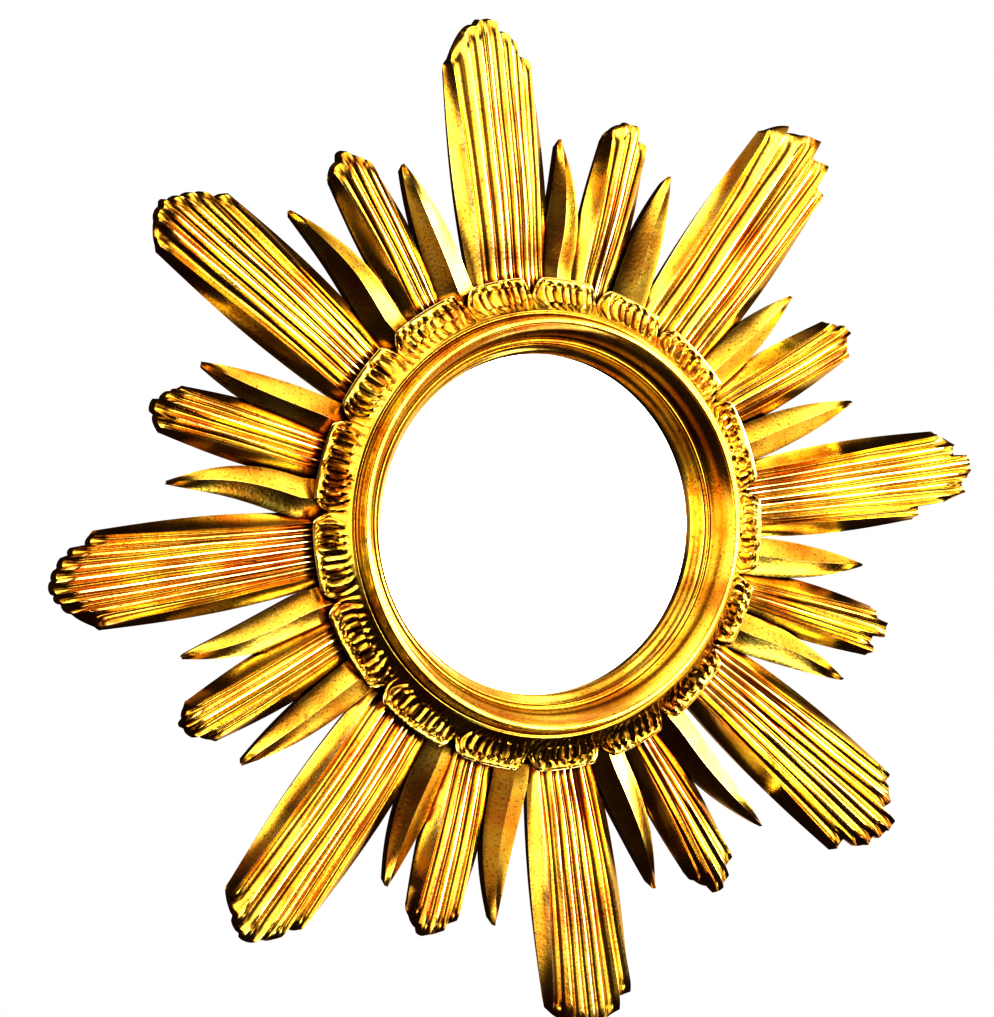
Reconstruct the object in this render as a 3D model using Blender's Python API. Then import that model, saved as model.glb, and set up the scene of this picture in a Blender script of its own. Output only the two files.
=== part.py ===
"""Carved and gilded sunburst wall mirror, modelled from its real sizes.

The frame is one carving: sixteen fluted rays and sixteen leaves around a turned ring, with a
gathered collar over their roots.  A flat mirror glass lies in a rebate behind the ring, with a thin board behind it.
Metres, +Z up.  The front faces -Y and the back rests on a wall at y = 0.  The origin is on the
flat back of the ring, straight above the glass, where the mirror hangs.
"""

from math import atan2, cos, hypot, pi, radians, sin, tau

import bmesh
import bpy
from mathutils import Vector

# The tables of rays and leaves below are written in divisions of this rule
RULE = 0.001

# How far the longest flutes and leaves reach from the centre of the glass
LONG_REACH = 0.272
SHORT_REACH = 0.225
LEAF_REACH = 0.210

# Depths, measured forwards from the face of the glass
WALL_DEPTH = 0.010
RAY_TOP = 0.0085
ROOT_DIP = 0.0040
DIP_END = 0.185
CROWN = 0.0012
LONG_EDGE = -0.0010
SHORT_EDGE = -0.0014
BACK_LIFT_ROOT = 0.0006
BACK_LIFT_TIP = 0.0040

# The opening, the glass and its board
SIGHT_RADIUS = 0.090
GLASS_RADIUS = 0.094
GLASS_THICKNESS = 0.003
BOARD_THICKNESS = 0.004
CLEARANCE = 0.0003

# Where the mirror hangs, above the centre of the glass
HANG_RADIUS = 0.106

# The turned ring, as distances out from the sight edge and forwards from the glass
LIP_HEIGHT = 0.0026
SLOPE_RISE = ((0.0010, 0.0030), (0.0046, 0.0102), (0.0066, 0.0112))
COVE_RISE = ((0.0095, 0.0136), (0.0128, 0.0190))
CREST_RISE = ((0.0150, 0.0246), (0.0168, 0.0255), (0.0181, 0.0246))
OUTER_WALL = ((0.0194, 0.0180), (0.0222, 0.0174))
RING_BASE_OUT = 0.0280
RING_SEGMENTS = 51

# The gathered collar, as distances out from the sight edge and forwards from the glass
COLLAR_INNER = 0.0228
COLLAR_OUTER = 0.0402
COLLAR_INNER_HEIGHT = 0.0170
COLLAR_LIP_HEIGHT = 0.0078
COLLAR_SWELL = 0.0012
COLLAR_LIP_THICKNESS = 0.0020
COLLAR_BED = (0.0366, -0.0030)
COLLAR_BACK = (0.0240, -0.0050)
COLLAR_ROOT_IN = 0.0050
COLLAR_ROWS = 3
NOTCH_DEPTH = 0.0060
NOTCH_SLOPE = 2
NOTCH_CORNER = 0.5
RIDGE_HEIGHT = 0.0013
RIDGE_ROOT_SHARE = 0.3
RIDGES_PER_GATHER = 4
# Bearings of the pinches between the gathers, from +X towards +Z; no two gathers are alike
PINCHES_DEG = (1.5, 26, 49, 68, 86, 104, 126, 147, 170, 191.5, 216, 238.5, 259, 279, 298, 320, 340)

# The rays start inside the ring.  Their flutes are set out at two radii and run straight
RAY_START = 0.112
FOOT_RADIUS = 0.135
HEAD_RADIUS_LONG = 0.245
HEAD_RADIUS_SHORT = 0.205
FILLET = 0.0013
GOUGE_DEPTH_SHARE = 0.30
GOUGE_ROUND = 0.0008
TIP_SKIRT = 0.0014
SIDE_WIDTH_FOOT = 0.0045
SIDE_WIDTH_MIDDLE = 0.0068
SIDE_WIDTH_TIP = 0.0024
UNDERCUT = 0.93
RAY_STATIONS = (0.0, 0.45, 1.0)

# Leaves between the rays
LEAF_HALF_WIDTH = 0.0105
LEAF_TIP_HALF_WIDTH = 0.0008
LEAF_TAPER = 2.2
LEAF_TOP_FOOT = 0.0068
LEAF_TOP_TIP = 0.0035
LEAF_EDGE = -0.0020
LEAF_HOLLOW = 1.5
LEAF_STATIONS = (0.0, 0.35, 0.6, 0.82, 1.0)
LEAF_SHARES = (-1.0, -0.5, 0.0, 0.5, 1.0)

# Edges sharper than this stay crisp
SHARP_ANGLE_DEG = 30

# Long rays: bearing in degrees, the outer arrises at the foot and at the head from the ray's
# axis (clockwise is positive), then each flute's width, how far it stops short of the longest
# reach, and how far its end slants across it
LONG_RAYS = (
    (90, (-17.5, 18), (-22.5, 24),
     ((10.5, 18, 15), (7, 9, 3), (4.5, 6, 1), (7, 6, 0), (6, 13, 0), (4, 17, -4),
      (7.5, 27, -2))),
    (45, (-18, 21), (-25, 24),
     ((10, 14, 12), (10, 10, 7), (9.5, 4, 4), (4, 13, 0), (8, 11, 3), (2.5, 24, 0),
      (5, 24, 0))),
    (0, (-13.5, 17.5), (-20, 24.5),
     ((8, 18, 11), (5.5, 15, 0), (4, 6, 2), (5.5, 5, 0), (5, 8, -4), (6, 11, 3),
      (4.5, 19, -14), (6, 41, 0))),
    (-45, (-15, 17), (-22, 29.5),
     ((5.5, 18, 0), (6.5, 12, 7), (6, 10, -3), (7, 0, 0), (6, 2, -1), (7, 6, 1),
      (5, 10, -6), (8.5, 20, 0))),
    (-90, (-14, 16.5), (-22, 24),
     ((8, 17, 0), (10, 7, 4), (6, 2, 2), (6, 1, 0), (6, 4, -2), (10, 12, -8))),
    (-135, (-17, 19.5), (-22.5, 21.5),
     ((7.5, 24, 3), (6, 13, 6), (3.5, 10, 0), (8.5, 5, 2), (8, 7, -3), (10.5, 14, -7))),
    (180, (-12.5, 17), (-21.5, 25),
     ((9, 19, 12), (5.5, 10, 3), (4.5, 6, 1), (6.5, 4, 0), (5.5, 6, -2), (5.5, 10, -3),
      (4.5, 16, -2), (5.5, 26, -3))),
    (135, (-15.5, 16), (-20, 25),
     ((10, 15, 9), (7, 9, 2), (4.5, 7.5, 0), (6, 11, -3), (5.5, 15, -3), (5, 20, -3),
      (7, 29, -3))),
)

# Short rays between them, written the same way
SHORT_RAYS = (
    (67.5, (-10, 4.5), (-15.5, 6.5), ((7, 9, 6), (5.5, 5, 0), (2.5, 5, 0), (7, 12.5, 0))),
    (22.5, (-8, 9), (-10, 12), ((5, 16, 4), (6.5, 10, 2), (6, 14, -3), (4.5, 16, 0))),
    (-22.5, (-5, 10), (-9, 14), ((5, 14, 2), (8.5, 6, 0), (5.5, 14, -1), (4, 11, 1))),
    (-67.5, (-4, 10.5), (-10.5, 13), ((7, 10, 2), (5.5, 3, 2), (5, 0, 0), (6, 8, -8))),
    (-112.5, (-6, 14), (-9, 16), ((6, 11, 2), (7, 4, 3), (6, 2, -1), (6, 7, -6))),
    (-157.5, (-5, 13), (-6, 16), ((6, 11, 5), (7, 4.5, 2), (4, 3, 0), (5, 7, -4))),
    (157.5, (-7.5, 11), (-9.5, 13), ((6.5, 7, 3), (7.5, 3.5, 0), (5.5, 8, -3), (3, 13, -4))),
    (112.5, (-8.5, 6), (-13, 8), ((7, 8, 3), (5.5, 3.5, 0), (5.5, 8, -5), (3, 13, 0))),
)

# Leaves beside the short rays: bearing of that short ray, the spine at the foot and at the tip
# from its axis, how far the tip stops short of the longest leaf, and how far the spine bows
LEAVES = (
    (67.5, -27.5, -42, 10, 4.2), (67.5, 20, 25.5, 9, -0.5),
    (22.5, -22, -33, 16, 0.5), (22.5, 24, 35, 11, -0.5),
    (-22.5, -19, -31, 14, 0.8), (-22.5, 24, 32.5, 9, -1.7),
    (-67.5, -17, -36, 1, 2.2), (-67.5, 26.5, 36, 6, -2.2),
    (-112.5, -21, -32, 0, 3), (-112.5, 24, 33, 6, 1.2),
    (-157.5, -19, -24.5, 5, -0.7), (-157.5, 25, 39, 4, -2.8),
    (157.5, -23, -35, 5, 4.5), (157.5, 21, 28.5, 7, -0.8),
    (112.5, -25, -43, 1, 4.6), (112.5, 19, 25, 9, 0.6),
)

# Worked out from the sizes above
BACK = -WALL_DEPTH
REBATE_RADIUS = GLASS_RADIUS + CLEARANCE
BOARD_FRONT = -GLASS_THICKNESS - CLEARANCE


def clear_scene():
    for item in list(bpy.data.objects):
        bpy.data.objects.remove(item, do_unlink=True)


def make_material(name, colour, metallic, roughness):
    material = bpy.data.materials.new(name)
    material.use_nodes = True
    shader = material.node_tree.nodes["Principled BSDF"]
    shader.inputs["Base Color"].default_value = (*colour, 1.0)
    shader.inputs["Metallic"].default_value = metallic
    shader.inputs["Roughness"].default_value = roughness
    return material


def mesh_object(name, bm, material):
    """Turn a closed bmesh into a named object of one material, with its faces pointing out."""
    bmesh.ops.recalc_face_normals(bm, faces=bm.faces)
    if bm.calc_volume(signed=True) < 0.0:
        bmesh.ops.reverse_faces(bm, faces=bm.faces)
    mesh = bpy.data.meshes.new(name)
    bm.to_mesh(mesh)
    bm.free()
    mesh.materials.append(material)
    item = bpy.data.objects.new(name, mesh)
    bpy.context.collection.objects.link(item)
    return item


def in_front(radius, angle, height):
    """The point at a radius and bearing about the glass, so far in front of it."""
    return Vector((radius * cos(angle), -WALL_DEPTH - height, radius * sin(angle) - HANG_RADIUS))


def lay_on_ray(bm, bearing_deg):
    """Move a shape drawn as (across, along, height) to its place on a ray's bearing."""
    angle = radians(bearing_deg)
    for vert in bm.verts:
        across, along, height = vert.co
        vert.co = in_front(along, angle, height)
        vert.co += Vector((sin(angle), 0.0, -cos(angle))) * across


def slab_from_grid(columns, rows, place):
    """A closed slab: a grid of columns by rows shaped by place, its sides and a flat back."""
    bm = bmesh.new()
    bmesh.ops.create_grid(bm, x_segments=columns - 1, y_segments=rows - 1, size=0.5)
    for vert in bm.verts:
        column = round((vert.co.x + 0.5) * (columns - 1))
        row = round((vert.co.y + 0.5) * (rows - 1))
        vert.co = place(column, row)
    rim = [edge for edge in bm.edges if edge.is_boundary]
    skirt = bmesh.ops.extrude_edge_only(bm, edges=rim)["geom"]
    for vert in (item for item in skirt if isinstance(item, bmesh.types.BMVert)):
        along = RAY_START + (vert.co.y - RAY_START) * (1 + UNDERCUT) / 2
        share = (along - RAY_START) / (LONG_REACH - RAY_START)
        lift = BACK_LIFT_ROOT + (BACK_LIFT_TIP - BACK_LIFT_ROOT) * share
        vert.co = (vert.co.x * UNDERCUT, along, BACK + lift)
    back_rim = [item for item in skirt if isinstance(item, bmesh.types.BMEdge)]
    bmesh.ops.contextual_create(bm, geom=back_rim)
    return bm


def ray_top(along):
    """The height of a ray's arrises: level, with a dip towards the collar."""
    share = min(1.0, max(0.0, (along - FOOT_RADIUS) / (DIP_END - FOOT_RADIUS)))
    return RAY_TOP - ROOT_DIP * (1.0 - share) ** 2


def side_width(share):
    """How far a ray's sloping side spreads, from its foot over its middle to its tip."""
    ends = SIDE_WIDTH_FOOT + (SIDE_WIDTH_TIP - SIDE_WIDTH_FOOT) * share
    middle = SIDE_WIDTH_MIDDLE - (SIDE_WIDTH_FOOT + SIDE_WIDTH_TIP) / 2
    return ends + middle * sin(pi * share)


def flute_columns(flutes, longest):
    """Each column across the ray: its share of the width, its tip radius and its sink."""
    columns = []
    total = sum(width for width, _, _ in flutes) * RULE
    start = 0.0
    for width, short, slant in flutes:
        width = width * RULE
        edge = FILLET / 2 / width
        for share in (edge, 0.5, 1.0 - edge):
            gouge = max(0.0, sin(pi * (share - edge) / (1.0 - 2 * edge)))
            reach = longest - (short - slant * (share - 0.5)) * RULE + GOUGE_ROUND * (gouge - 0.5)
            sink = GOUGE_DEPTH_SHARE * width * gouge
            columns.append(((start + share * width) / total, reach, sink))
        start += width
    return columns


def fluted_ray(bearing_deg, foot, head, flutes, head_radius, longest, edge_height):
    """A flat-backed ray with gouged flutes that end at their own lengths."""
    flute_list = flute_columns(flutes, longest)
    columns = len(flute_list) + 2
    rows = len(RAY_STATIONS) + 1

    def arris_line(share, along):
        """A straight line from foot to head, at its share of the ray's width."""
        at_foot = (foot[0] + (foot[1] - foot[0]) * share) * RULE
        at_head = (head[0] + (head[1] - head[0]) * share) * RULE
        return at_foot + (at_head - at_foot) * (along - FOOT_RADIUS) / (head_radius - FOOT_RADIUS)

    def place(column, row):
        at_tip = row == rows - 1
        station = RAY_STATIONS[min(row, rows - 2)]
        side = (column == columns - 1) - (column == 0)
        share, reach, sink = flute_list[min(max(column - 1, 0), len(flute_list) - 1)]
        if side:
            reach -= SIDE_WIDTH_TIP
        along = RAY_START + (reach - RAY_START) * station
        across = arris_line(share, along) + side * side_width(station)
        if at_tip:
            return across, along + TIP_SKIRT, edge_height
        if side:
            return across, along, edge_height
        offset = 2 * share - 1.0
        return across, along, ray_top(along) - CROWN * offset * offset - sink

    bm = slab_from_grid(columns, rows, place)
    lay_on_ray(bm, bearing_deg)
    return bm


def leaf(bearing_deg, foot, tip, short, bow):
    """A pointed leaf with a sharp bent spine between two hollow faces."""
    reach = LEAF_REACH - short * RULE

    def growth(along):
        return (along - FOOT_RADIUS) / (reach - FOOT_RADIUS)

    def place(column, row):
        along = RAY_START + (reach - RAY_START) * LEAF_STATIONS[row]
        grown = max(0.0, growth(along))
        fullness = 1.0 - grown ** LEAF_TAPER
        half = LEAF_TIP_HALF_WIDTH + (LEAF_HALF_WIDTH - LEAF_TIP_HALF_WIDTH) * fullness
        aside = LEAF_SHARES[column]
        top = LEAF_TOP_FOOT + (LEAF_TOP_TIP - LEAF_TOP_FOOT) * grown
        height = LEAF_EDGE + (top - LEAF_EDGE) * (1.0 - abs(aside)) ** LEAF_HOLLOW
        return aside * half, along, height

    bm = slab_from_grid(len(LEAF_SHARES), len(LEAF_STATIONS), place)
    for vert in bm.verts:
        grown = growth(vert.co.y)
        vert.co.x += (foot + (tip - foot) * grown + bow * sin(pi * max(0.0, grown))) * RULE
    lay_on_ray(bm, bearing_deg)
    return bm


def turned(profile, steps):
    """A closed ring: a profile of (radius, height) points spun around the glass's axis."""
    bm = bmesh.new()
    verts = [bm.verts.new(in_front(radius, 0.0, height)) for radius, height in profile]
    edges = [bm.edges.new((a, b)) for a, b in zip(verts, verts[1:] + verts[:1])]
    bmesh.ops.spin(bm, geom=verts + edges, cent=in_front(0.0, 0.0, 0.0), axis=(0.0, -1.0, 0.0),
                   angle=tau, steps=steps, use_merge=True, use_duplicate=False)
    return bm


def turned_ring():
    """The moulded ring with its sight lip and, behind it, the rebate for the glass."""
    section = (0.0, LIP_HEIGHT), *SLOPE_RISE, *COVE_RISE, *CREST_RISE, *OUTER_WALL
    profile = [(SIGHT_RADIUS + out, height) for out, height in section]
    profile += [
        (SIGHT_RADIUS + RING_BASE_OUT, COLLAR_LIP_HEIGHT),
        (SIGHT_RADIUS + RING_BASE_OUT, BACK),
        (REBATE_RADIUS, BACK),
        (REBATE_RADIUS, CLEARANCE),
        (SIGHT_RADIUS, CLEARANCE),
    ]
    return turned(profile, RING_SEGMENTS)


def gathered_collar():
    """The ruffled collar: a sloping ring gathered between pinches, with a scalloped lip."""
    inner = SIGHT_RADIUS + COLLAR_INNER
    outer = SIGHT_RADIUS + COLLAR_OUTER
    lip_under = COLLAR_LIP_HEIGHT - COLLAR_LIP_THICKNESS
    profile = [
        (inner - COLLAR_ROOT_IN, COLLAR_LIP_HEIGHT),
        (inner - COLLAR_ROOT_IN, COLLAR_INNER_HEIGHT - COLLAR_LIP_THICKNESS),
    ]
    for row in range(COLLAR_ROWS + 1):
        share = row / COLLAR_ROWS
        height = COLLAR_INNER_HEIGHT + (COLLAR_LIP_HEIGHT - COLLAR_INNER_HEIGHT) * share
        profile.append((inner + (outer - inner) * share, height + COLLAR_SWELL * sin(pi * share)))
    profile += [
        (outer - COLLAR_LIP_THICKNESS / 2, lip_under),
        (SIGHT_RADIUS + COLLAR_BED[0], COLLAR_BED[1]),
        (SIGHT_RADIUS + COLLAR_BACK[0], COLLAR_BACK[1]),
    ]
    per_gather = 2 * RIDGES_PER_GATHER + 1
    steps = per_gather * len(PINCHES_DEG)
    bm = turned(profile, steps)
    centre = in_front(0.0, 0.0, 0.0)
    for vert in bm.verts:
        radius = hypot(vert.co.x, vert.co.z - centre.z)
        height = -vert.co.y - WALL_DEPTH
        index = round(atan2(vert.co.z - centre.z, vert.co.x) / tau * steps) % steps
        gather, place = divmod(index, per_gather)
        start = PINCHES_DEG[gather]
        end = PINCHES_DEG[(gather + 1) % len(PINCHES_DEG)]
        angle = radians(start + ((end - start) % 360) * place / per_gather)
        out = max(0.0, (radius - inner) / (outer - inner))
        pinched = 1.0 - sin(pi * place / per_gather) ** NOTCH_CORNER
        if height > lip_under and radius > inner - CLEARANCE:
            ridge = RIDGE_HEIGHT / 2 * min(1.0, RIDGE_ROOT_SHARE + 2 * out)
            height += ridge if place % 2 else -ridge
        vert.co = in_front(radius - NOTCH_DEPTH * out ** NOTCH_SLOPE * pinched, angle, height)
    return bm


def joined(name, shapes, material):
    """Unite several closed shapes into one solid."""
    parts = [mesh_object(f"{name}_{index}", shape, material) for index, shape in enumerate(shapes)]
    whole = parts[0]
    cutters = bpy.data.collections.new(name + "_shapes")
    for item in parts[1:]:
        cutters.objects.link(item)
        item.hide_render = True
        item.display_type = "WIRE"
    union = whole.modifiers.new("Union", "BOOLEAN")
    union.operation = "UNION"
    union.operand_type = "COLLECTION"
    union.collection = cutters
    union.solver = "EXACT"
    depsgraph = bpy.context.evaluated_depsgraph_get()
    mesh = bpy.data.meshes.new_from_object(whole.evaluated_get(depsgraph))
    for item in parts:
        bpy.data.objects.remove(item, do_unlink=True)
    bpy.data.collections.remove(cutters)
    solid = bpy.data.objects.new(name, mesh)
    bpy.context.collection.objects.link(solid)
    return solid


def disc(name, radius, front, thickness, material):
    """A round plate behind the sight edge."""
    bm = bmesh.new()
    bearings = [tau * step / RING_SEGMENTS for step in range(RING_SEGMENTS)]
    face = bm.faces.new([bm.verts.new(in_front(radius, angle, front)) for angle in bearings])
    sides = bmesh.ops.extrude_face_region(bm, geom=[face])["geom"]
    moved = [item for item in sides if isinstance(item, bmesh.types.BMVert)]
    bmesh.ops.translate(bm, verts=moved, vec=(0.0, thickness, 0.0))
    return mesh_object(name, bm, material)


def build():
    clear_scene()
    gold = make_material("burnished_gold_leaf", (0.80, 0.52, 0.09), 1.0, 0.28)
    silver = make_material("silvered_glass", (0.90, 0.91, 0.91), 1.0, 0.02)
    board = make_material("plain_board", (0.30, 0.19, 0.10), 0.0, 0.75)
    shapes = [turned_ring(), gathered_collar()]
    shapes += [fluted_ray(*ray, HEAD_RADIUS_LONG, LONG_REACH, LONG_EDGE) for ray in LONG_RAYS]
    shapes += [fluted_ray(*ray, HEAD_RADIUS_SHORT, SHORT_REACH, SHORT_EDGE) for ray in SHORT_RAYS]
    shapes += [leaf(*row) for row in LEAVES]
    frame = joined("sunburst_frame", shapes, gold)
    frame.data.shade_smooth()
    frame.data.set_sharp_from_angle(angle=radians(SHARP_ANGLE_DEG))
    disc("mirror_glass", GLASS_RADIUS, 0.0, GLASS_THICKNESS, silver)
    disc("backing_board", GLASS_RADIUS - CLEARANCE, BOARD_FRONT, BOARD_THICKNESS, board)


build()
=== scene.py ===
"""Looks of the carved and gilded sunburst wall mirror.

The frame is carved limewood, laid with gold leaf over red-brown bole and burnished.  The fine
carving replaces the plain solid of the frame, and the glass and its board keep their solids.
Metres, +Z up; the front faces -Y and the origin is on the back of the ring, above the glass.
"""

from math import atan2, cos, exp, floor, hypot, pi, radians, sin, tau

import bmesh
import bpy
from mathutils import Matrix, Vector, noise


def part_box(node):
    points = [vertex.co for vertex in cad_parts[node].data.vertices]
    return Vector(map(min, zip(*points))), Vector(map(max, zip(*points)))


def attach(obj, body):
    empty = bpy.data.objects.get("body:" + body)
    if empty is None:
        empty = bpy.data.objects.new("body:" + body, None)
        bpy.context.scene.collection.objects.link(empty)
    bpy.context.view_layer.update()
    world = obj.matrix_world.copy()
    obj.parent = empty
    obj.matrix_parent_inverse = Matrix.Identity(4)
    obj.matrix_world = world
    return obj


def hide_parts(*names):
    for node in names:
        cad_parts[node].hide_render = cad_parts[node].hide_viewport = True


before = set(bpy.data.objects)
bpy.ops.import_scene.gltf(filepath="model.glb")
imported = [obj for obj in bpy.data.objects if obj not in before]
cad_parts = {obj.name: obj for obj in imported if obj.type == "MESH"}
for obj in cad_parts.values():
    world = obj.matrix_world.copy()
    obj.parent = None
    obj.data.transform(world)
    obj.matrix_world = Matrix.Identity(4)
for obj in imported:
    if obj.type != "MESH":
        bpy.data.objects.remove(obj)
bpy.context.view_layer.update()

# The tables of rays and leaves below are written in divisions of this rule
RULE = 0.001

# Where things lie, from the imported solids
GLASS_LOW, GLASS_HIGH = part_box("mirror_glass")
CENTRE = Vector((0.0, GLASS_LOW.y, (GLASS_LOW.z + GLASS_HIGH.z) / 2))
WALL_DEPTH = -GLASS_LOW.y
GLASS_RADIUS = (GLASS_HIGH.x - GLASS_LOW.x) / 2

# The camera that the photograph was taken with, about the centre of the glass
CAMERA_AZIMUTH = radians(-24.63)
CAMERA_ELEVATION = radians(3.0)
CAMERA_ROLL = radians(-6.33)
CAMERA_DISTANCE = 1.8711
PIXELS_PER_METRE = 1890.0
PHOTO_SIZE = (994, 1017)
CENTRE_PIXEL = (536.9, 524.3)
SENSOR_WIDTH = 36.0
FLOOR_HEIGHT = -1.6
FLOOR_HALF_WIDTH = 2.5

# Soft patches of light about the mirror: degrees right of its front and upwards, the sines of
# half the width and height, and radiance.  The rest is a dim warm brown, as in a dark room.
SOFT_LIGHTS = (
    (24, -3, 0.14, 0.10, 7.0),
    (46, 3, 0.24, 0.13, 8.0),
    (74, 9, 0.24, 0.18, 7.0),
    (88, 4, 0.24, 0.24, 4.0),
    (40, 2, 0.62, 0.34, 1.5),
    (65, 40, 0.50, 0.35, 1.3),
    (70, -30, 0.40, 0.25, 1.3),
    (-76, 12, 0.50, 0.36, 2.4),
    (-26, 0, 0.28, 0.18, 0.7),
    (30, -44, 0.26, 0.10, 4.0),
    (-40, 50, 0.55, 0.40, 1.5),
    (0, 62, 0.60, 0.36, 1.3),
    (-130, 70, 0.50, 0.40, 0.5),
    (135, -8, 0.50, 0.40, 0.9),
)
PATCH_FULL_AT = 0.7
PATCH_FADES_AT = 1.3
DARK_ROOM = "#2A150D"
WHITE_RADIANCE = 3.0  # a patch this strong is white, a weaker one is warmer
DISPLAY_GAMMA = 0.72

# How the relief is read off the mesh, and the angle past which an edge stays sharp
RELIEF_PASSES = 2
RELIEF_SPREAD = 0.4
SHARP_ANGLE = radians(38)

# Patterns, as features to the metre: patches of tone about 26 mm, worn specks 1.4 mm, haze on
# the glass 70 mm and the board's grain 6 by 17 by 110 mm.  The grain of the ground under the
# leaf is finer than 2 mm, and is drawn as coarse as that so that it shows.
TONE_PATCHES = 38.0
WORN_SPECKS = 700.0
GROUND_GRAIN = 520.0
GLASS_HAZE = 14.0
BOARD_GRAIN = (180.0, 60.0, 9.0)

# Heights in front of the glass
RAY_TOP = 0.0085
ROOT_DIP = 0.0040
DIP_END = 0.185
CROWN = 0.0012
LONG_EDGE = -0.0010
SHORT_EDGE = -0.0014
BACK_LIFT_ROOT = 0.0006
BACK_LIFT_TIP = 0.0040

# The turned ring: distance out from the sight edge and height, smooth between the breaks
SIGHT_RADIUS = 0.090
CLEARANCE = 0.0003
RING_CURVES = (
    ((0.0, 2.6), (1.5, 4.6), (3.2, 7.9), (4.7, 10.0)),
    ((5.0, 9.8), (5.3, 9.6), (5.6, 10.1), (6.2, 11.0), (7.0, 11.3), (7.7, 11.0)),
    ((7.9, 10.7), (8.3, 11.5), (10.2, 13.3), (12.3, 16.6), (13.8, 20.4), (14.8, 24.0)),
    ((14.9, 24.5), (15.3, 25.2), (15.8, 25.4), (16.7, 25.45), (17.6, 25.4), (18.1, 25.2), (18.35, 24.5)),
    ((18.35, 24.2), (18.6, 23.4), (18.6, 22.4), (18.9, 21.0), (19.2, 18.8), (19.6, 17.8)),
    ((20.2, 17.3), (21.0, 17.7), (22.4, 17.2)),
)
RING_CURVE_STEPS = 4
RING_BASE_OUT = 0.0280
# Width of a band of painted shade over the ring's cove
COVE_SHADE_WIDTH = 0.025
RING_SEGMENTS = 224

# The gathered collar, as distances out from the sight edge and forwards from the glass
COLLAR_INNER = 0.0222
COLLAR_OUTER = 0.0402
COLLAR_INNER_HEIGHT = 0.0172
COLLAR_LIP_HEIGHT = 0.0084
COLLAR_SWELL = 0.0019
COLLAR_DISH = 0.0031
PILLOW_EDGE = 0.007
COLLAR_LIP_THICKNESS = 0.0022
COLLAR_BED = (0.0366, -0.0030)
COLLAR_BACK = (0.0240, -0.0050)
COLLAR_ROOT_IN = 0.0050
COLLAR_ROWS = 18
COLLAR_STEPS_PER_GATHER = 56
NOTCH_DEPTH = 0.0080
NOTCH_HALF_WIDTH = 0.0062
NOTCH_ROUND = 0.0007
NOTCH_SLOPE = 1.8
PINCH_CROWDING = 0.10
FACET_WAIST = 0.0008
FACET_FLARE = 0.0042
FACET_DIP = 0.0018
PUCKER_WIDTH = 0.0050
PUCKER_DEPTH = 0.0024
PUCKER_START = 0.07
PUCKER_END = 0.88
PUCKER_UNEVEN = 0.9
PUCKER_FAN = 0.8
PUCKER_DEPTH_VARIES = 0.8
PUCKER_START_VARIES = 0.10
PILLOW_ROUND = 0.6
SWELL_ROUND = 0.8
HOLLOW_ROUND = 0.8
LENS_ROUND = 0.6
RIM_AT = 0.95
RIM_WIDTH = 0.04
RIM_RISE = 0.0004
PINCHES_DEG = (1.5, 26, 49, 68, 86, 104, 126, 147, 170, 191.5, 216, 238.5, 259, 279, 298, 320, 340)

# The rays and how far the longest flutes and leaves reach from the centre of the glass
LONG_REACH = 0.272
SHORT_REACH = 0.225
LEAF_REACH = 0.210
RAY_START = 0.112
FOOT_RADIUS = 0.135
HEAD_RADIUS_LONG = 0.245
HEAD_RADIUS_SHORT = 0.205
FILLET = 0.0010
FLUTE_STEPS = 8
GOUGE_DEPTH_SHARE = 0.30
GOUGE_WALL = 0.40
GOUGE_LEAN = 0.24
GOUGE_ROUND = 0.0008
TIP_SKIRT = 0.0014
TIP_EASE = 0.0080
TIP_DROP = 0.0026
SIDE_WIDTH_FOOT = 0.0045
SIDE_WIDTH_MIDDLE = 0.0068
SIDE_WIDTH_TIP = 0.0024
SIDE_HOLLOW = 0.0008
SIDE_STEPS = 4
UNDERCUT = 0.93
RAY_ROWS = 30
RAY_ROW_CROWDING = 1.4

# The carver's hand: how far it wanders, and how many times a metre its line, its lean and
# its depth do
HAND_WAVER = 0.00035
RAY_WANDERS = 30
LEAF_WANDERS = 40
LEAN_WANDERS = 14
DEPTH_WANDERS = 22
GOUGE_DEPTH_VARIES = 0.35

# The leaves
LEAF_HALF_WIDTH = 0.0105
LEAF_TIP_HALF_WIDTH = 0.0008
LEAF_TAPER = 2.2
LEAF_TOP_FOOT = 0.0054
LEAF_TOP_TIP = 0.0028
LEAF_EDGE = 0.0005
LEAF_HOLLOW = 1.2
LEAF_ROWS = 26
LEAF_ROW_CROWDING = 1.3
LEAF_STEPS = 8

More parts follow.
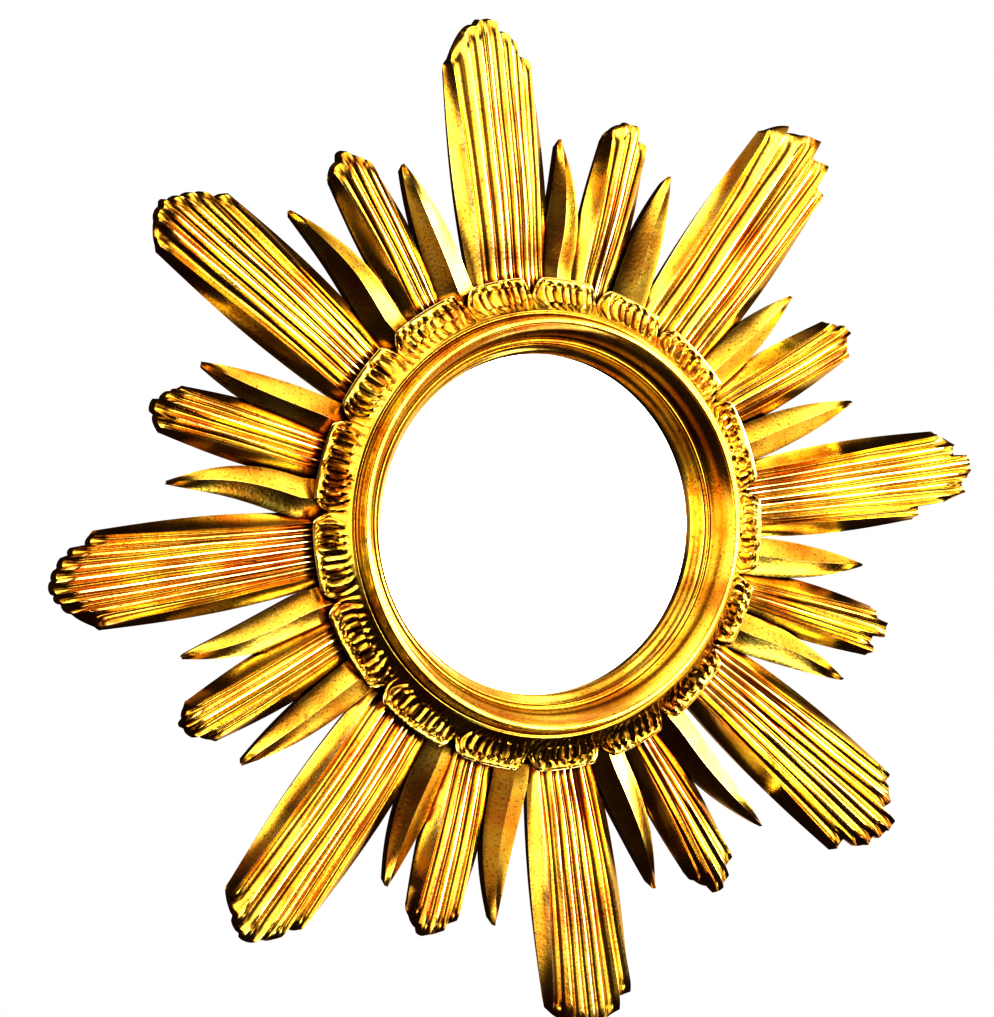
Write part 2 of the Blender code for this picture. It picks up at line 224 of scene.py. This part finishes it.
LONG_RAYS = (
    (90, (-17.5, 18), (-22.5, 24),
     ((10.5, 18, 15), (7, 9, 3), (4.5, 6, 1), (7, 6, 0), (6, 13, 0), (4, 17, -4),
      (7.5, 27, -2))),
    (45, (-18, 21), (-25, 24),
     ((10, 14, 12), (10, 10, 7), (9.5, 4, 4), (4, 13, 0), (8, 11, 3), (2.5, 24, 0),
      (5, 24, 0))),
    (0, (-13.5, 17.5), (-20, 24.5),
     ((8, 18, 11), (5.5, 15, 0), (4, 6, 2), (5.5, 5, 0), (5, 8, -4), (6, 11, 3),
      (4.5, 19, -14), (6, 41, 0))),
    (-45, (-15, 17), (-22, 29.5),
     ((5.5, 18, 0), (6.5, 12, 7), (6, 10, -3), (7, 0, 0), (6, 2, -1), (7, 6, 1),
      (5, 10, -6), (8.5, 20, 0))),
    (-90, (-14, 16.5), (-22, 24),
     ((8, 17, 0), (10, 7, 4), (6, 2, 2), (6, 1, 0), (6, 4, -2), (10, 12, -8))),
    (-135, (-17, 19.5), (-22.5, 21.5),
     ((7.5, 24, 3), (6, 13, 6), (3.5, 10, 0), (8.5, 5, 2), (8, 7, -3), (10.5, 14, -7))),
    (180, (-12.5, 17), (-21.5, 25),
     ((9, 19, 12), (5.5, 10, 3), (4.5, 6, 1), (6.5, 4, 0), (5.5, 6, -2), (5.5, 10, -3),
      (4.5, 16, -2), (5.5, 26, -3))),
    (135, (-15.5, 16), (-20, 25),
     ((10, 15, 9), (7, 9, 2), (4.5, 7.5, 0), (6, 11, -3), (5.5, 15, -3), (5, 20, -3),
      (7, 29, -3))),
)

SHORT_RAYS = (
    (67.5, (-10, 4.5), (-15.5, 6.5), ((7, 9, 6), (5.5, 5, 0), (2.5, 5, 0), (7, 12.5, 0))),
    (22.5, (-8, 9), (-10, 12), ((5, 16, 4), (6.5, 10, 2), (6, 14, -3), (4.5, 16, 0))),
    (-22.5, (-5, 10), (-9, 14), ((5, 14, 2), (8.5, 6, 0), (5.5, 14, -1), (4, 11, 1))),
    (-67.5, (-4, 10.5), (-10.5, 13), ((7, 10, 2), (5.5, 3, 2), (5, 0, 0), (6, 8, -8))),
    (-112.5, (-6, 14), (-9, 16), ((6, 11, 2), (7, 4, 3), (6, 2, -1), (6, 7, -6))),
    (-157.5, (-5, 13), (-6, 16), ((6, 11, 5), (7, 4.5, 2), (4, 3, 0), (5, 7, -4))),
    (157.5, (-7.5, 11), (-9.5, 13), ((6.5, 7, 3), (7.5, 3.5, 0), (5.5, 8, -3), (3, 13, -4))),
    (112.5, (-8.5, 6), (-13, 8), ((7, 8, 3), (5.5, 3.5, 0), (5.5, 8, -5), (3, 13, 0))),
)

LEAVES = (
    (67.5, -27.5, -42, 10, 4.2), (67.5, 20, 25.5, 9, -0.5),
    (22.5, -22, -33, 16, 0.5), (22.5, 24, 35, 11, -0.5),
    (-22.5, -19, -31, 14, 0.8), (-22.5, 24, 32.5, 9, -1.7),
    (-67.5, -17, -36, 1, 2.2), (-67.5, 26.5, 36, 6, -2.2),
    (-112.5, -21, -32, 0, 3), (-112.5, 24, 33, 6, 1.2),
    (-157.5, -19, -24.5, 5, -0.7), (-157.5, 25, 39, 4, -2.8),
    (157.5, -23, -35, 5, 4.5), (157.5, 21, 28.5, 7, -0.8),
    (112.5, -25, -43, 1, 4.6), (112.5, 19, 25, 9, 0.6),
)


def in_front(radius, angle, height):
    """The point at a radius and bearing about the glass, so far in front of it."""
    return Vector((radius * cos(angle), -WALL_DEPTH - height, CENTRE.z + radius * sin(angle)))


def waver(size, x, y=0.0, z=0.0):
    """A smooth wander of the carver's hand, the same each time, up to about size either way."""
    return size * noise.noise(Vector((x, y, z)))


def lay_on_ray(bm, bearing_deg):
    """Move a shape drawn as (across, along, height) to its place on a ray's bearing."""
    angle = radians(bearing_deg)
    for vert in bm.verts:
        across, along, height = vert.co
        vert.co = in_front(along, angle, height)
        vert.co += Vector((sin(angle), 0.0, -cos(angle))) * across


def slab_from_grid(columns, rows, place):
    """A closed slab: a grid of columns by rows shaped by place, its sides and a flat back."""
    bm = bmesh.new()
    bmesh.ops.create_grid(bm, x_segments=columns - 1, y_segments=rows - 1, size=0.5)
    for vert in bm.verts:
        column = round((vert.co.x + 0.5) * (columns - 1))
        row = round((vert.co.y + 0.5) * (rows - 1))
        vert.co = place(column, row)
    rim = [edge for edge in bm.edges if edge.is_boundary]
    skirt = bmesh.ops.extrude_edge_only(bm, edges=rim)["geom"]
    for vert in (item for item in skirt if isinstance(item, bmesh.types.BMVert)):
        along = RAY_START + (vert.co.y - RAY_START) * (1 + UNDERCUT) / 2
        share = (along - RAY_START) / (LONG_REACH - RAY_START)
        lift = BACK_LIFT_ROOT + (BACK_LIFT_TIP - BACK_LIFT_ROOT) * share
        vert.co = (vert.co.x * UNDERCUT, along, -WALL_DEPTH + lift)
    back_rim = [item for item in skirt if isinstance(item, bmesh.types.BMEdge)]
    bmesh.ops.contextual_create(bm, geom=back_rim)
    return bm


def ray_top(along):
    """The height of a ray's arrises: level, with a dip towards the collar."""
    share = min(1.0, max(0.0, (along - FOOT_RADIUS) / (DIP_END - FOOT_RADIUS)))
    return RAY_TOP - ROOT_DIP * (1.0 - share) ** 2


def side_width(share):
    """How far a ray's sloping side spreads, from its foot over its middle to its tip."""
    ends = SIDE_WIDTH_FOOT + (SIDE_WIDTH_TIP - SIDE_WIDTH_FOOT) * share
    middle = SIDE_WIDTH_MIDDLE - (SIDE_WIDTH_FOOT + SIDE_WIDTH_TIP) / 2
    return ends + middle * sin(pi * share)


def flute_columns(flutes, longest):
    """Each column across the ray: share of the width, tip radius, sink, the flute it is in and
    how far across that flute."""
    columns = []
    total = sum(width for width, _, _ in flutes) * RULE
    start = 0.0
    for index, (width, short, slant) in enumerate(flutes):
        width = width * RULE
        edge = FILLET / 2 / width
        for step in range(FLUTE_STEPS + 1):
            share = edge + (1.0 - 2 * edge) * step / FLUTE_STEPS
            wall = min(1.0, min(step, FLUTE_STEPS - step) / FLUTE_STEPS / GOUGE_WALL)
            gouge = sin(pi / 2 * wall)
            reach = longest - (short - slant * (share - 0.5)) * RULE + GOUGE_ROUND * (gouge - 1.0)
            sink = GOUGE_DEPTH_SHARE * width * gouge
            columns.append(((start + share * width) / total, reach, sink, index, share - 0.5))
        start += width
    return columns


def fluted_ray(bearing_deg, foot, head, flutes, head_radius, longest, edge_height):
    """A flat-backed ray with gouged flutes that end at their own lengths."""
    flute_list = flute_columns(flutes, longest)
    columns = len(flute_list) + 2 * SIDE_STEPS
    rows = RAY_ROWS + 1

    def arris_line(share, along):
        at_foot = (foot[0] + (foot[1] - foot[0]) * share) * RULE
        at_head = (head[0] + (head[1] - head[0]) * share) * RULE
        return at_foot + (at_head - at_foot) * (along - FOOT_RADIUS) / (head_radius - FOOT_RADIUS)

    def place(column, row):
        station = min(row, rows - 2) / (rows - 2)
        station = 1.0 - (1.0 - station) ** RAY_ROW_CROWDING
        inner = min(max(column - SIDE_STEPS, 0), len(flute_list) - 1)
        share, reach, sink, index, aside = flute_list[inner]
        out = abs(column - SIDE_STEPS - inner) / SIDE_STEPS
        side = -1 if column < SIDE_STEPS else 1
        reach -= SIDE_WIDTH_TIP * out
        along = RAY_START + (reach - RAY_START) * station
        across = arris_line(share, along) + side * out * side_width(station)
        across += waver(HAND_WAVER * (1 - out), along * RAY_WANDERS, share * 9, bearing_deg)
        if row == rows - 1:
            return across, along + TIP_SKIRT, edge_height
        offset = 2 * share - 1.0
        lean = waver(GOUGE_LEAN, along * LEAN_WANDERS, index * 7.3, bearing_deg) * 2 * aside
        uneven = waver(GOUGE_DEPTH_VARIES, along * DEPTH_WANDERS, index * 5.1, bearing_deg)
        sink *= 1.0 + uneven + lean / GOUGE_DEPTH_SHARE
        ease = max(0.0, (along - reach + TIP_EASE) / TIP_EASE)
        height = ray_top(along) - CROWN * offset * offset - sink - TIP_DROP * ease * ease
        return across, along, height + (edge_height - height) * out - SIDE_HOLLOW * sin(pi * out)

    bm = slab_from_grid(columns, rows, place)
    lay_on_ray(bm, bearing_deg)
    return bm


def leaf(bearing_deg, foot, tip, short, bow):
    """A pointed leaf with a sharp bent spine between two hollow faces."""
    reach = LEAF_REACH - short * RULE

    def growth(along):
        return (along - FOOT_RADIUS) / (reach - FOOT_RADIUS)

    def place(column, row):
        station = 1.0 - (1.0 - row / LEAF_ROWS) ** LEAF_ROW_CROWDING
        along = RAY_START + (reach - RAY_START) * station
        grown = max(0.0, growth(along))
        fullness = 1.0 - grown ** LEAF_TAPER
        half = LEAF_TIP_HALF_WIDTH + (LEAF_HALF_WIDTH - LEAF_TIP_HALF_WIDTH) * fullness
        aside = column / LEAF_STEPS - 1.0
        top = LEAF_TOP_FOOT + (LEAF_TOP_TIP - LEAF_TOP_FOOT) * grown
        height = LEAF_EDGE + (top - LEAF_EDGE) * (1.0 - abs(aside)) ** LEAF_HOLLOW
        across = aside * half
        across += waver(HAND_WAVER * (1 - abs(aside)), along * LEAF_WANDERS, foot, bearing_deg)
        return across, along, height

    bm = slab_from_grid(2 * LEAF_STEPS + 1, LEAF_ROWS + 1, place)
    for vert in bm.verts:
        grown = growth(vert.co.y)
        vert.co.x += (foot + (tip - foot) * grown + bow * sin(pi * max(0.0, grown))) * RULE
    lay_on_ray(bm, bearing_deg)
    return bm


def turned(profile, steps):
    """A closed ring: a profile of (radius, height) points spun around the glass's axis."""
    bm = bmesh.new()
    verts = [bm.verts.new(in_front(radius, 0.0, height)) for radius, height in profile]
    edges = [bm.edges.new((a, b)) for a, b in zip(verts, verts[1:] + verts[:1])]
    bmesh.ops.spin(bm, geom=verts + edges, cent=CENTRE, axis=(0.0, -1.0, 0.0),
                   angle=tau, steps=steps, use_merge=True, use_duplicate=False)
    return bm


def smooth_run(points, steps):
    """Points along a smooth curve through the given ones."""
    padded = [points[0]] + list(points) + [points[-1]]
    run = []
    for first in range(len(points) - 1):
        p0, p1, p2, p3 = (Vector(point) for point in padded[first:first + 4])
        for step in range(steps):
            t = step / steps
            run.append(0.5 * (2 * p1 + (p2 - p0) * t + (2 * p0 - 5 * p1 + 4 * p2 - p3) * t * t
                              + (3 * p1 - p0 - 3 * p2 + p3) * t ** 3))
    return run + [Vector(points[-1])]


def turned_ring():
    """The moulded ring with its sight lip and, behind it, the rebate for the glass."""
    profile = []
    for curve in RING_CURVES:
        for out, height in smooth_run(curve, RING_CURVE_STEPS):
            profile.append((SIGHT_RADIUS + out * RULE, height * RULE))
    rebate = GLASS_RADIUS + CLEARANCE
    profile += [
        (SIGHT_RADIUS + RING_BASE_OUT, COLLAR_LIP_HEIGHT),
        (SIGHT_RADIUS + RING_BASE_OUT, -WALL_DEPTH),
        (rebate, -WALL_DEPTH),
        (rebate, CLEARANCE),
        (SIGHT_RADIUS, CLEARANCE),
    ]
    return turned(profile, RING_SEGMENTS)


def gathered_collar():
    """The ruffled collar: a sloping ring gathered between pinches, with a scalloped rim."""
    inner = SIGHT_RADIUS + COLLAR_INNER
    outer = SIGHT_RADIUS + COLLAR_OUTER
    lip_under = COLLAR_LIP_HEIGHT - COLLAR_LIP_THICKNESS
    profile = [
        (inner - COLLAR_ROOT_IN, COLLAR_LIP_HEIGHT),
        (inner - COLLAR_ROOT_IN, COLLAR_INNER_HEIGHT - COLLAR_LIP_THICKNESS),
    ]
    for row in range(COLLAR_ROWS + 1):
        share = row / COLLAR_ROWS
        height = COLLAR_INNER_HEIGHT + (COLLAR_LIP_HEIGHT - COLLAR_INNER_HEIGHT) * share
        profile.append((inner + (outer - inner) * share, height))
    profile += [
        (outer - COLLAR_LIP_THICKNESS / 4, COLLAR_LIP_HEIGHT - COLLAR_LIP_THICKNESS / 2),
        (outer - COLLAR_LIP_THICKNESS, lip_under),
        (SIGHT_RADIUS + COLLAR_BED[0], COLLAR_BED[1]),
        (SIGHT_RADIUS + COLLAR_BACK[0], COLLAR_BACK[1]),
    ]
    steps = COLLAR_STEPS_PER_GATHER * len(PINCHES_DEG)
    bm = turned(profile, steps)
    for vert in bm.verts:
        radius = hypot(vert.co.x, vert.co.z - CENTRE.z)
        height = -vert.co.y - WALL_DEPTH
        index = round(atan2(vert.co.z - CENTRE.z, vert.co.x) / tau * steps) % steps
        gather, place = divmod(index, COLLAR_STEPS_PER_GATHER)
        start = PINCHES_DEG[gather]
        width = (PINCHES_DEG[(gather + 1) % len(PINCHES_DEG)] - start) % 360
        across = crowded(place / COLLAR_STEPS_PER_GATHER)
        angle = radians(start + width * across)
        share = min(1.0, max(0.0, (radius - inner) / (outer - inner)))
        straight = COLLAR_INNER_HEIGHT + (COLLAR_LIP_HEIGHT - COLLAR_INNER_HEIGHT) * share
        length = radians(width) * outer
        near = min(across, 1.0 - across) * length
        if radius > inner - CLEARANCE and abs(height - straight) < CLEARANCE:
            height += gather_height(gather, across, near, length, share)
        rounded = hypot(near, NOTCH_ROUND) - NOTCH_ROUND
        pinched = max(0.0, 1.0 - rounded / NOTCH_HALF_WIDTH) ** NOTCH_SLOPE
        vert.co = in_front(radius - NOTCH_DEPTH * share ** 2 * pinched, angle, height)
    return bm


def crowded(share):
    """Steps along a gather, set closer together near its pinched ends."""
    return share - PINCH_CROWDING * sin(tau * share) / 2


def gather_height(gather, across, near, length, share):
    """How far the collar's face stands off its slope: swell, hollows between ridges, and rim."""
    facet = FACET_WAIST + FACET_FLARE * (2 * share - 1) ** 2
    inside = (across * length - facet) / (length - 2 * facet)
    puckers = max(3, round((length - 2 * facet) / PUCKER_WIDTH))
    pillow = COLLAR_SWELL * min(1.0, near / PILLOW_EDGE) ** PILLOW_ROUND
    swell = (pillow - COLLAR_DISH) * max(0.0, sin(pi * share)) ** SWELL_ROUND
    rim = RIM_RISE * exp(-((share - RIM_AT) / RIM_WIDTH) ** 2)
    dip = FACET_DIP * max(0.0, 1.0 - near / NOTCH_HALF_WIDTH) * share
    if not 0.0 < inside < 1.0:
        return swell + rim - dip
    uneven = waver(PUCKER_UNEVEN, inside * 3.0, gather * 5.1)
    fan = waver(PUCKER_FAN, gather * 3.7) * share
    phase = inside * puckers + sin(pi * inside) * (uneven + fan)
    hollow = (0.5 - 0.5 * cos(tau * phase)) ** HOLLOW_ROUND
    depth = PUCKER_DEPTH * (1.0 + waver(PUCKER_DEPTH_VARIES, gather * 2.3, floor(phase) * 1.7))
    drift = waver(PUCKER_START_VARIES, floor(phase) * 2.9, gather * 1.3)
    reach = (share - PUCKER_START + drift) / (PUCKER_END - PUCKER_START)
    lens = max(0.0, sin(pi * min(1.0, max(0.0, reach)))) ** LENS_ROUND
    return swell + rim - dip - depth * lens * hollow


def add_object(name, bm):
    """A closed bmesh as an object, with its faces pointing out."""
    bmesh.ops.recalc_face_normals(bm, faces=bm.faces)
    if bm.calc_volume(signed=True) < 0.0:
        bmesh.ops.reverse_faces(bm, faces=bm.faces)
    mesh = bpy.data.meshes.new(name)
    bm.to_mesh(mesh)
    bm.free()
    item = bpy.data.objects.new(name, mesh)
    bpy.context.scene.collection.objects.link(item)
    return item


def carved_frame():
    """Rays, collar and ring united into one carving."""
    shapes = [turned_ring(), gathered_collar()]
    shapes += [fluted_ray(*ray, HEAD_RADIUS_LONG, LONG_REACH, LONG_EDGE) for ray in LONG_RAYS]
    shapes += [fluted_ray(*ray, HEAD_RADIUS_SHORT, SHORT_REACH, SHORT_EDGE) for ray in SHORT_RAYS]
    shapes += [leaf(*row) for row in LEAVES]
    parts = [add_object(f"carving_{index}", shape) for index, shape in enumerate(shapes)]
    others = bpy.data.collections.new("carving_parts")
    for item in parts[1:]:
        others.objects.link(item)
    union = parts[0].modifiers.new("Union", "BOOLEAN")
    union.operation = "UNION"
    union.operand_type = "COLLECTION"
    union.collection = others
    union.solver = "EXACT"
    depsgraph = bpy.context.evaluated_depsgraph_get()
    mesh = bpy.data.meshes.new_from_object(parts[0].evaluated_get(depsgraph))
    for item in parts:
        bpy.data.objects.remove(item, do_unlink=True)
    bpy.data.collections.remove(others)
    bm = bmesh.new()
    bm.from_mesh(mesh)
    bmesh.ops.dissolve_degenerate(bm, dist=CLEARANCE / 100, edges=bm.edges)
    bm.to_mesh(mesh)
    bm.free()
    whole = bpy.data.objects.new("gilded_sunburst", mesh)
    bpy.context.scene.collection.objects.link(whole)
    return whole


def mark_relief(item, passes):
    """Store how proud or sunken each point is: above 0.5 on arrises, below in hollows."""
    mesh = item.data
    bm = bmesh.new()
    bm.from_mesh(mesh)
    lengths = [edge.calc_length() + CLEARANCE / 10 for edge in bm.edges]
    values = []
    for vert in bm.verts:
        bend = sum(edge.calc_face_angle_signed(0.0) * lengths[edge.index] for edge in vert.link_edges)
        values.append(bend / sum(lengths[edge.index] for edge in vert.link_edges))
    for _ in range(passes):
        smooth = []
        for vert in bm.verts:
            near = [(values[edge.other_vert(vert).index], lengths[edge.index]) for edge in vert.link_edges]
            pull = sum(value / length for value, length in near)
            weight = sum(1.0 / length for _, length in near)
            smooth.append((1.0 - RELIEF_SPREAD) * values[vert.index] + RELIEF_SPREAD * pull / weight)
        values = smooth
    bm.free()
    relief = mesh.attributes.new("relief", "FLOAT", "POINT")
    relief.data.foreach_set("value", [min(1.0, max(0.0, 0.5 + 0.5 * value)) for value in values])


def linear(hex_colour):
    """An sRGB hex colour as the linear values that the shader wants."""
    parts = [int(hex_colour[place:place + 2], 16) / 255 for place in (1, 3, 5)]
    return tuple(c / 12.92 if c <= 0.04045 else ((c + 0.055) / 1.055) ** 2.4 for c in parts) + (1.0,)


def add_node(tree, kind, settings=None, **links):
    """Add a node with its settings; links maps an input name to a socket or a plain value."""
    node = tree.nodes.new(kind)
    for key, value in (settings or {}).items():
        setattr(node, key, value)
    for name, value in links.items():
        key = int(name[1:]) if name[0] == "_" else name.replace("_", " ")
        if isinstance(value, bpy.types.NodeSocket):
            tree.links.new(value, node.inputs[key])
        else:
            node.inputs[key].default_value = value
    return node


def ramp(tree, factor, *stops):
    """A colour ramp node with (position, hex colour) stops."""
    node = add_node(tree, "ShaderNodeValToRGB", Fac=factor)
    while len(node.color_ramp.elements) < len(stops):
        node.color_ramp.elements.new(0.5)
    for element, (position, colour) in zip(node.color_ramp.elements, stops):
        element.position = position
        element.color = linear(colour)
    return node.outputs["Color"]


def mixed(tree, blend, factor, first, second):
    """Two colours mixed, multiplied or added."""
    node = add_node(tree, "ShaderNodeMix", {"data_type": "RGBA", "blend_type": blend},
                    _0=factor, _6=first, _7=second)
    return node.outputs[2]


def new_material(name):
    material = bpy.data.materials.new(name)
    material.use_nodes = True
    tree = material.node_tree
    return material, tree, tree.nodes["Principled BSDF"]


def burnished_gold_leaf():
    """Gold leaf laid over red-brown bole and burnished: warm mirror-like metal in patches of tone,
    with worn specks. Painted highlight makes the arrises pale, painted shade darkens the hollows
    red-brown and the recesses brown, and a band of painted shade darkens the ring's cove."""
    material, tree, shader = new_material("burnished_gold_leaf_over_bole")
    place = add_node(tree, "ShaderNodeTexCoord").outputs["Object"]
    relief = add_node(tree, "ShaderNodeAttribute", {"attribute_name": "relief"}).outputs["Fac"]
    patches = add_node(tree, "ShaderNodeTexNoise",
                       Vector=place, Scale=TONE_PATCHES, Detail=3.0).outputs["Fac"]
    colour = ramp(tree, patches, (0.34, "#ECB044"), (0.5, "#FCDA5C"), (0.62, "#FFEC74"))
    # Painted shade: the gold is darkened to brown where little of the room is open to it, in hollows, under
    # the collar's lip and between the parts
    open_air = add_node(tree, "ShaderNodeAmbientOcclusion", {"samples": 8}, Distance=0.006).outputs["AO"]
    recess_shade = ramp(tree, open_air,
                 (0.20, "#5A2A14"), (0.36, "#90704C"), (0.50, "#D8CDB4"), (0.64, "#FFFFFF"))
    colour = mixed(tree, "MULTIPLY", 1.0, colour, recess_shade)
    # Painted shade: a band over the ring's cove is darkened
    about_centre = add_node(tree, "ShaderNodeMapping", Vector=place, Location=(0.0, 0.0, -CENTRE.z),
                            Scale=(1.0, 0.0, 1.0)).outputs[0]
    out = add_node(tree, "ShaderNodeVectorMath", {"operation": "LENGTH"}, _0=about_centre).outputs["Value"]
    over_ring = add_node(tree, "ShaderNodeMapRange", Value=out, From_Min=SIGHT_RADIUS,
                         From_Max=SIGHT_RADIUS + COVE_SHADE_WIDTH).outputs[0]
    cove_shade = ramp(tree, over_ring,
                      (0.27, "#FFFFFF"), (0.36, "#D2BE90"), (0.53, "#D2BE90"), (0.60, "#FFFFFF"))
    colour = mixed(tree, "MULTIPLY", 1.0, colour, cove_shade)
    # Painted shade: concave hollows are darkened red-brown
    hollow_shade = ramp(tree, relief, (0.28, "#8E5430"), (0.47, "#FFFFFF"))
    colour = mixed(tree, "MULTIPLY", 1.0, colour, hollow_shade)
    # Painted highlight: proud arrises are mixed towards pale cream
    arris_highlight = ramp(tree, relief, (0.62, "#000000"), (0.85, "#FFFFFF"))
    colour = mixed(tree, "MIX", arris_highlight, colour, linear("#FFF4C4"))
    specks = add_node(tree, "ShaderNodeTexNoise", Vector=place, Scale=WORN_SPECKS, Detail=3.0).outputs["Fac"]
    worn = add_node(tree, "ShaderNodeMapRange", Value=specks, From_Min=0.58, From_Max=0.68, To_Max=0.55)
    colour = mixed(tree, "MIX", worn.outputs[0], colour, linear("#6B2A08"))
    tree.links.new(colour, shader.inputs["Base Color"])
    shader.inputs["Metallic"].default_value = 1.0
    rough = add_node(tree, "ShaderNodeMapRange", Value=patches, To_Min=0.15, To_Max=0.26).outputs[0]
    tree.links.new(rough, shader.inputs["Roughness"])
    grain = add_node(tree, "ShaderNodeTexNoise", Vector=place, Scale=GROUND_GRAIN, Detail=3.0).outputs["Fac"]
    bump = add_node(tree, "ShaderNodeBump", Height=grain, Strength=0.2, Distance=0.0003).outputs["Normal"]
    tree.links.new(bump, shader.inputs["Normal"])
    return material


def silvered_glass():
    """Float glass silvered on its back: a clear, nearly perfect mirror."""
    material, tree, shader = new_material("silvered_float_glass")
    place = add_node(tree, "ShaderNodeTexCoord").outputs["Object"]
    haze = add_node(tree, "ShaderNodeTexNoise", Vector=place, Scale=GLASS_HAZE, Detail=2.0).outputs["Fac"]
    tone = ramp(tree, haze, (0.3, "#F4F6F6"), (0.7, "#FAFBFB"))
    tree.links.new(tone, shader.inputs["Base Color"])
    shader.inputs["Metallic"].default_value = 1.0
    rough = add_node(tree, "ShaderNodeMapRange", Value=haze, To_Min=0.008, To_Max=0.02).outputs[0]
    tree.links.new(rough, shader.inputs["Roughness"])
    return material


def stained_board():
    """Thin bare board, stained brown: dull, with a straight grain."""
    material, tree, shader = new_material("stained_thin_board")
    place = add_node(tree, "ShaderNodeTexCoord").outputs["Object"]
    along = add_node(tree, "ShaderNodeMapping", Vector=place, Scale=BOARD_GRAIN).outputs[0]
    grain = add_node(tree, "ShaderNodeTexNoise", Vector=along, Scale=1.0, Detail=4.0).outputs["Fac"]
    tree.links.new(ramp(tree, grain, (0.3, "#5A3D22"), (0.7, "#8A6540")), shader.inputs["Base Color"])
    shader.inputs["Roughness"].default_value = 0.7
    return material


def set_material(item, material):
    item.data.materials.clear()
    item.data.materials.append(material)


def place_camera():
    """The camera stands where the photograph's did, tilted as it was."""
    back = Vector((sin(CAMERA_AZIMUTH) * cos(CAMERA_ELEVATION), -cos(CAMERA_AZIMUTH) * cos(CAMERA_ELEVATION),
                   sin(CAMERA_ELEVATION)))
    right = Vector((0, 0, 1)).cross(back).normalized()
    up = back.cross(right)
    right, up = (cos(CAMERA_ROLL) * right + sin(CAMERA_ROLL) * up,
                 cos(CAMERA_ROLL) * up - sin(CAMERA_ROLL) * right)
    data = bpy.data.cameras.new("camera")
    camera = bpy.data.objects.new("camera", data)
    bpy.context.scene.collection.objects.link(camera)
    turn = Matrix((right, up, back)).transposed()
    camera.matrix_world = Matrix.LocRotScale(CENTRE + back * CAMERA_DISTANCE, turn.to_quaternion(), None)
    data.sensor_width = SENSOR_WIDTH
    longest = max(PHOTO_SIZE)
    data.lens = SENSOR_WIDTH * PIXELS_PER_METRE * CAMERA_DISTANCE / longest
    data.shift_x = -(CENTRE_PIXEL[0] - PHOTO_SIZE[0] / 2) / longest
    data.shift_y = (CENTRE_PIXEL[1] - PHOTO_SIZE[1] / 2) / longest
    bpy.context.scene.camera = camera


def soft_surround():
    """A room of soft light patches, seen only in reflections; the camera sees plain white."""
    world = bpy.data.worlds.new("studio")
    world.use_nodes = True
    tree = world.node_tree
    toward = add_node(tree, "ShaderNodeTexCoord").outputs["Generated"]
    total = 0.0
    for aside, up, half_width, half_height, radiance in SOFT_LIGHTS:
        turned_to = add_node(tree, "ShaderNodeMapping", {"vector_type": "TEXTURE"}, Vector=toward,
                             Rotation=(radians(-up), 0.0, radians(aside)),
                             Scale=(half_width, 1.0, half_height))
        off = add_node(tree, "ShaderNodeVectorMath", {"operation": "ADD"}, _0=turned_to.outputs[0],
                       _1=(0.0, 1.0, 0.0))
        far = add_node(tree, "ShaderNodeVectorMath", {"operation": "LENGTH"}, _0=off.outputs[0])
        glow = add_node(tree, "ShaderNodeMapRange", {"interpolation_type": "SMOOTHSTEP"},
                        Value=far.outputs["Value"], From_Min=PATCH_FADES_AT, From_Max=PATCH_FULL_AT,
                        To_Max=radiance)
        total = add_node(tree, "ShaderNodeMath", {"operation": "ADD"},
                         _0=total, _1=glow.outputs[0]).outputs[0]
    strength = add_node(tree, "ShaderNodeMapRange", Value=total, From_Max=WHITE_RADIANCE).outputs[0]
    warmth = ramp(tree, strength, (0.0, "#C88050"), (0.3, "#FFDCAA"), (0.7, "#FFF6E2"), (1.0, "#FFFFFF"))
    glowing = mixed(tree, "MULTIPLY", 1.0, warmth, total)
    room = mixed(tree, "ADD", 1.0, linear(DARK_ROOM), glowing)
    seen = add_node(tree, "ShaderNodeLightPath").outputs["Is Camera Ray"]
    shown = mixed(tree, "MIX", seen, room, linear("#FFFFFF"))
    tree.links.new(shown, tree.nodes["Background"].inputs["Color"])
    bpy.context.scene.world = world


def light_studio():
    soft_surround()
    mesh = bpy.data.meshes.new("floor")
    bm = bmesh.new()
    bmesh.ops.create_grid(bm, x_segments=1, y_segments=1, size=FLOOR_HALF_WIDTH)
    bm.to_mesh(mesh)
    bm.free()
    floor = bpy.data.objects.new("floor", mesh)
    floor.location.z = FLOOR_HEIGHT
    bpy.context.scene.collection.objects.link(floor)
    pale, _, shader = new_material("pale_floor")
    shader.inputs["Base Color"].default_value = linear("#F2F1EE")
    shader.inputs["Roughness"].default_value = 0.8
    set_material(floor, pale)
    floor.visible_glossy = False
    bpy.context.scene.view_settings.view_transform = "Standard"
    bpy.context.scene.view_settings.gamma = DISPLAY_GAMMA


gilded = carved_frame()
mark_relief(gilded, RELIEF_PASSES)
gilded.data.shade_smooth()
gilded.data.set_sharp_from_angle(angle=SHARP_ANGLE)
set_material(gilded, burnished_gold_leaf())
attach(gilded, "root")
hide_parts("sunburst_frame")
set_material(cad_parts["mirror_glass"], silvered_glass())
set_material(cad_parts["backing_board"], stained_board())
place_camera()
light_studio()
